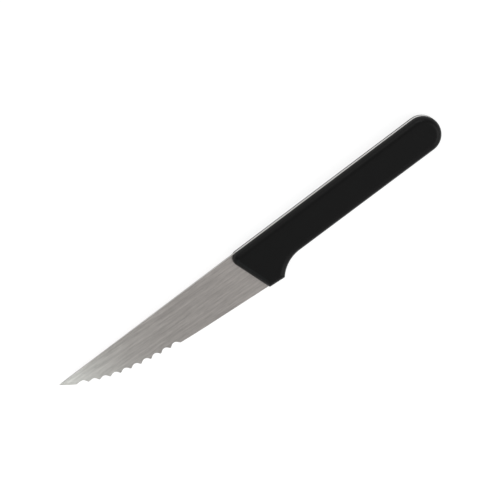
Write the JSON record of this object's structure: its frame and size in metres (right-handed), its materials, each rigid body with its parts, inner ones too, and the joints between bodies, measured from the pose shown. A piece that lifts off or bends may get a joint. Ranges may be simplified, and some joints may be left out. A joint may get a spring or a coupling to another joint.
{
  "type": "steak knife",
  "caption": "Full-tang steak knife: pointed steel blade with a scalloped belly and a plain straight heel, between two black moulded scales with a finger guard and a round butt.",
  "frame": {"origin": "middle of the knife's box on the surface that it lies on, right scale down", "axes": "+X from the point to the butt, +Y from the edge to the spine, +Z out of the left scale's face"},
  "size_m": [0.23, 0.0254, 0.0101],
  "materials": {
    "brushed_blade_steel": "stainless steel with fine brushing along the blade, bright on the tang's polished edge",
    "black_scale": "black moulded plastic, satin and very finely grained",
    "pin_steel": "plain drawn steel wire, cut and chamfered"
  },
  "bodies": {
    "root": {"blade": "brushed_blade_steel", "left_scale": "black_scale", "right_scale": "black_scale", "front_pin": "pin_steel", "middle_pin": "pin_steel", "rear_pin": "pin_steel"}
  },
  "joints": []
}
